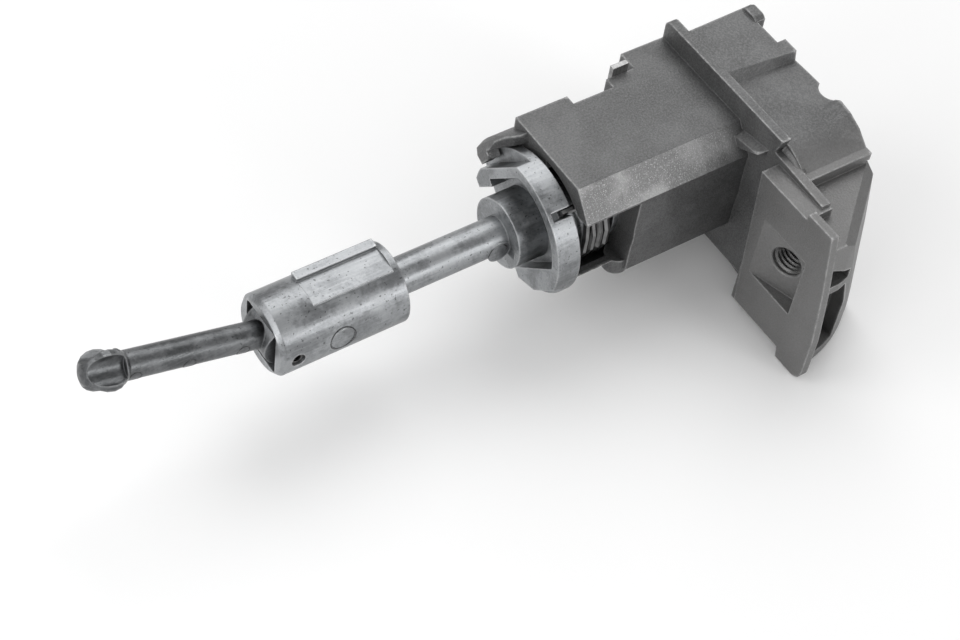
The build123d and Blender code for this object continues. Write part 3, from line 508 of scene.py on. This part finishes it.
# Rings round the marks that the die's pins left on the castings, dark with painted shade
markLook = {
    "rise": 0.05 * mm,
    "sunk": 0.12 * mm,
    "width": 0.36 * mm,
    "steps": 28,
    "rodTilt": 15.8,
    "pivot": (-105.2 * mm, 0.0, 0.0),
    "rodRadius": 2.5 * mm,
    "rodMarks": (7.8 * mm, 18.1 * mm, 28.3 * mm),
    "rodMarkRadius": 1.15 * mm,
    "rodMarkTurn": -14.0,
    "shaftMarks": [  # name, place along the axis, angle above the side, mark's radius, shaft's radius
        ("sleeve_mark", -96.6 * mm, 4.0, 2.45 * mm, 7.46 * mm),
        ("shaft_mark", -62.6 * mm, -10.0, 1.9 * mm, 3.4 * mm),
    ],
}


def castMark(name, centre, along, turn, markRadius, shaftRadius, body):
    side = Vector((0.0, -1.0, 0.0))
    third = along.cross(side)
    half = 0.5 * markLook["width"]
    profile = [
        (markRadius - half, -markLook["sunk"]),
        (markRadius - 0.5 * half, markLook["rise"]),
        (markRadius + 0.5 * half, markLook["rise"]),
        (markRadius + half, -markLook["sunk"]),
    ]
    corners = len(profile)
    steps = markLook["steps"]
    points, faces = [], []
    for step in range(steps):
        angle = 2 * math.pi * step / steps
        for radius, height in profile:
            around = radius * math.sin(angle) / shaftRadius + turn
            outward = side * math.cos(around) + third * math.sin(around)
            points.append(centre + along * (radius * math.cos(angle)) + outward * (shaftRadius + height))
    for step in range(steps):
        low, high = corners * step, corners * ((step + 1) % steps)
        for place in range(corners):
            other = (place + 1) % corners
            faces.append((low + place, low + other, high + other, high + place))
    # painted shade: the rings take the dark finish
    addPiece(name, points, faces, body, markShadeZinc)


def buildMarks(look):
    tilt = math.radians(look["rodTilt"])
    rodLine = Vector((-math.cos(tilt), 0.0, math.sin(tilt)))
    turn = math.radians(look["rodMarkTurn"])
    for number, reach in enumerate(look["rodMarks"], 1):
        centre = Vector(look["pivot"]) + rodLine * reach
        castMark(f"rod_mark_{number}", centre, rodLine, turn, look["rodMarkRadius"], look["rodRadius"], "rod")
    shaftLine = Vector((-1.0, 0.0, 0.0))
    for name, place, above, markRadius, shaftRadius in look["shaftMarks"]:
        centre = Vector((place, 0.0, 0.0))
        castMark(name, centre, shaftLine, math.radians(above), markRadius, shaftRadius, "plug_and_tail")


# Slope that carries the crown down onto the low part of the flange plate
slopeLook = {
    "nearY": -24.0 * mm,
    "farY": -18.3 * mm,
    "rearX": -14.95 * mm,
    "frontX": -13.7 * mm,
    "plateZ": (15.45 * mm, 15.88 * mm),
    "crownZ": (14.95 * mm, 16.75 * mm, 17.52 * mm),  # near end, middle and far end
    "lift": 0.02 * mm,
    "sunk": 0.1 * mm,
    "middleRise": 0.55,
    "endFacing": 0.7,
    "steps": 12,
}


def buildSlope(look):
    points, faces = [], []
    rearX, frontX, lift, sunk = look["rearX"], look["frontX"], look["lift"], look["sunk"]
    low, middle, high = look["crownZ"]
    bend = 2 * middle - 0.5 * (low + high)  # makes the curve pass through the middle
    plateNear, plateFar = look["plateZ"]
    rise = look["middleRise"]
    for step in range(look["steps"] + 1):
        share = step / look["steps"]
        y = look["nearY"] + share * (look["farY"] - look["nearY"])
        crown = low * (1 - share) ** 2 + 2 * bend * share * (1 - share) + high * share**2
        plate = plateNear + share * (plateFar - plateNear)
        crown = max(crown, plate + lift)
        points.append((rearX, y, plate - sunk))
        points.append((rearX, y, plate + lift))
        points.append((0.5 * (rearX + frontX), y, (1 - rise) * plate + rise * crown))
        points.append((frontX, y, crown - lift))
        points.append((frontX, y, plate - sunk))
    corners = 5
    for step in range(look["steps"]):
        first, second = corners * step, corners * (step + 1)
        for side in range(corners):
            other = (side + 1) % corners
            faces.append((first + side, second + side, second + other, first + other))
    last = corners * look["steps"]
    faces.append(tuple(reversed(range(corners))))
    faces.append(tuple(range(last, last + corners)))
    piece = addPiece("crown_slope", points, faces, "housing", slopeZinc)
    for face in piece.data.polygons:
        face.use_smooth = abs(face.normal.y) < look["endFacing"]


def buildSpring():
    piece = bpy.data.objects.new("return_spring_wire", nodes["return_spring"].data.copy())
    bpy.context.scene.collection.objects.link(piece)
    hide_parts("return_spring")
    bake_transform(piece)


buildThread(threadLook)
buildMarks(markLook)
buildSlope(slopeLook)
buildSpring()
print("thread, die marks, slope and spring built")

# Floor
floorLook = {
    "size": 3.0,
    "gap": 0.3 * mm,
    "tone": 0.93,
    "fibreShare": 0.99,
    "fibreNoise": (0.02, 2.0, 0.5),
    "roughness": 0.9,
}


def buildFloor(look):
    half = look["size"] / 2
    height = cadBox[0][2] - look["gap"]
    mesh = bpy.data.meshes.new("floor")
    corners = [(-half, -half, height), (half, -half, height), (half, half, height), (-half, half, height)]
    mesh.from_pydata(corners, [], [(0, 1, 2, 3)])
    floor = bpy.data.objects.new("floor", mesh)
    bpy.context.scene.collection.objects.link(floor)
    shader = Shader("floorPaper")
    fibre = shader.noise(*look["fibreNoise"])
    colour = shader.mix(fibre, grey(look["tone"] * look["fibreShare"]), grey(look["tone"]))
    mesh.materials.append(shader.finish(Base_Color=colour, Roughness=look["roughness"]))


buildFloor(floorLook)

# Studio: large soft lamps round the object and a pale surround
studioLook = {
    "surround": 0.56,
    "lamps": [  # name, direction it stands in, distance, size and the brightness of its face
        ("keyLamp", (0.41, 0.48, 0.78), 0.6, 0.5, 2.4),
        ("fillLamp", (-0.75, 0.35, 0.6), 0.6, 0.4, 2.0),
        ("tabLamp", (-0.9, -0.3, 0.34), 0.6, 0.34, 4.0),
        ("sideLamp", (0.41, -0.86, 0.30), 0.6, 0.24, 5.5),
    ],
}


def buildStudio(look):
    centre = (Vector(cadBox[0]) + Vector(cadBox[1])) / 2
    for name, direction, distance, size, brightness in look["lamps"]:
        lamp = bpy.data.lights.new(name, "AREA")
        lamp.shape = "DISK"
        lamp.size = size
        lamp.energy = brightness * math.pi * math.pi * (size / 2) ** 2
        holder = bpy.data.objects.new(name, lamp)
        away = Vector(direction).normalized()
        holder.location = centre + away * distance
        holder.rotation_euler = away.to_track_quat("Z", "Y").to_euler()
        bpy.context.scene.collection.objects.link(holder)
    world = bpy.data.worlds.new("studio")
    world.use_nodes = True
    background = world.node_tree.nodes["Background"]
    background.inputs["Color"].default_value = grey(1.0)
    background.inputs["Strength"].default_value = look["surround"]
    bpy.context.scene.world = world


buildStudio(studioLook)

# Camera, where the photograph's perspective puts it
cameraLook = {
    "place": (-224.43 * mm, -188.99 * mm, 284.65 * mm),
    "right": (0.8305, -0.5471, 0.1042),
    "up": (0.3758, 0.6886, 0.6202),
    "lens": 80.86,
    "sensor": 36.0,
    "clip": (0.01, 20.0),
}


def buildCamera(look):
    data = bpy.data.cameras.new("camera")
    data.sensor_width = look["sensor"]
    data.lens = look["lens"]
    data.clip_start, data.clip_end = look["clip"]
    camera = bpy.data.objects.new("camera", data)
    right = Vector(look["right"]).normalized()
    back = right.cross(Vector(look["up"])).normalized()
    up = back.cross(right)
    turn = Matrix((right, up, back)).transposed().to_4x4()
    camera.matrix_world = Matrix.Translation(look["place"]) @ turn
    bpy.context.scene.collection.objects.link(camera)
    bpy.context.scene.camera = camera


buildCamera(cameraLook)
bpy.context.scene.view_settings.view_transform = "Standard"
print("floor, studio and camera set")
